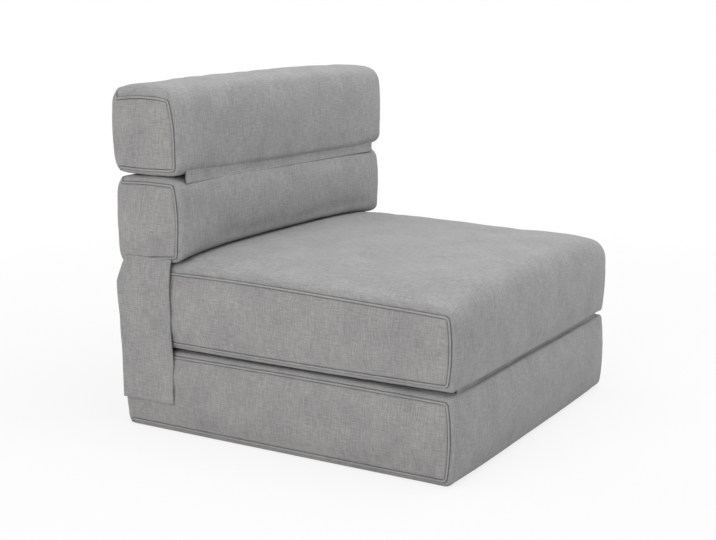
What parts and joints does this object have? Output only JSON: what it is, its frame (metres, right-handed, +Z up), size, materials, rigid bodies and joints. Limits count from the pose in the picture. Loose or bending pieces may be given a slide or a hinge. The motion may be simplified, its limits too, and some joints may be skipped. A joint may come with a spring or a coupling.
{
  "type": "convertible chair bed",
  "caption": "Armless folding chair bed: foam base and seat cushions with stacked back bolsters in zipped fabric covers, hinged edge to edge so that they unfold into a flat bed, with side flaps.",
  "frame": {"origin": "on the floor under the middle of the folded chair", "axes": "+Z up, the seat's front faces -Y, +X is the right-hand side seen from the front"},
  "size_m": [0.7592, 0.756, 0.682],
  "materials": {
    "woven_cover": "matte",
    "woven_panel": "matte",
    "welt": "matte",
    "hinge_fabric": "matte",
    "flap_fabric": "matte",
    "foam": "matte",
    "zip_tape": "matte",
    "zip_slider": "satin",
    "hook_tape": "matte",
    "loop_tape": "matte"
  },
  "bodies": {
    "base": {"base_cover": "woven_cover", "base_foam_core": "foam", "base_left_end_panel": "woven_panel", "base_left_piping": "welt", "base_right_end_panel": "woven_panel", "base_right_piping": "welt", "base_zip_chain": "zip_tape", "front_hinge_strip": "hinge_fabric", "left_loop_patch": "loop_tape", "right_loop_patch": "loop_tape"},
    "seat": {"rear_hinge_strip": "hinge_fabric", "seat_cover": "woven_cover", "seat_foam_core": "foam", "seat_left_end_panel": "woven_panel", "seat_left_piping": "welt", "seat_right_end_panel": "woven_panel", "seat_right_piping": "welt", "seat_zip_chain": "zip_tape"},
    "backrest": {"backrest_cover": "woven_cover", "backrest_foam_core": "foam", "backrest_left_end_panel": "woven_panel", "backrest_left_piping": "welt", "backrest_right_end_panel": "woven_panel", "backrest_right_piping": "welt", "backrest_zip_chain": "zip_tape", "headrest_hinge_strip": "hinge_fabric"},
    "headrest": {"headrest_cover": "woven_cover", "headrest_foam_core": "foam", "headrest_left_end_panel": "woven_panel", "headrest_left_piping": "welt", "headrest_right_end_panel": "woven_panel", "headrest_right_piping": "welt", "headrest_zip_chain": "zip_tape"},
    "backrest_zip_slider": {"backrest_zip_slider": "zip_slider"},
    "base_zip_slider": {"base_zip_slider": "zip_slider"},
    "headrest_zip_slider": {"headrest_zip_slider": "zip_slider"},
    "left_flap": {"left_hook_patch": "hook_tape", "left_side_flap": "flap_fabric"},
    "right_flap": {"right_hook_patch": "hook_tape", "right_side_flap": "flap_fabric"},
    "seat_zip_slider": {"seat_zip_slider": "zip_slider"}
  },
  "joints": [
    {"name": "seat_unfold", "type": "hinge", "parent": "base", "child": "seat", "pos_m": [0, -0.38, 0.17], "axis": [1, 0, 0], "range_deg": [0, 180], "deforming": ["front_hinge_strip"]},
    {"name": "back_unfold", "type": "hinge", "parent": "seat", "child": "backrest", "pos_m": [0, 0.381, 0.341], "axis": [-1, 0, 0], "range_deg": [0, 180], "deforming": ["rear_hinge_strip"]},
    {"name": "head_unfold", "type": "hinge", "parent": "backrest", "child": "headrest", "pos_m": [0, 0.206, 0.512], "axis": [1, 0, 0], "range_deg": [0, 180], "deforming": ["headrest_hinge_strip"]},
    {"name": "left_flap_lift", "type": "hinge", "parent": "backrest", "child": "left_flap", "pos_m": [-0.3744, 0.3, 0.358], "axis": [0, 1, 0], "range_deg": [0, 150]},
    {"name": "right_flap_lift", "type": "hinge", "parent": "backrest", "child": "right_flap", "pos_m": [0.3744, 0.3, 0.358], "axis": [0, -1, 0], "range_deg": [0, 150]},
    {"name": "base_zip_slide", "type": "slide", "parent": "base", "child": "base_zip_slider", "axis": [1, 0, 0], "range_m": [0, 0.466]},
    {"name": "seat_zip_slide", "type": "slide", "parent": "seat", "child": "seat_zip_slider", "axis": [1, 0, 0], "range_m": [0, 0.466]},
    {"name": "backrest_zip_slide", "type": "slide", "parent": "backrest", "child": "backrest_zip_slider", "axis": [1, 0, 0], "range_m": [0, 0.466]},
    {"name": "headrest_zip_slide", "type": "slide", "parent": "headrest", "child": "headrest_zip_slider", "axis": [1, 0, 0], "range_m": [0, 0.466]}
  ]
}
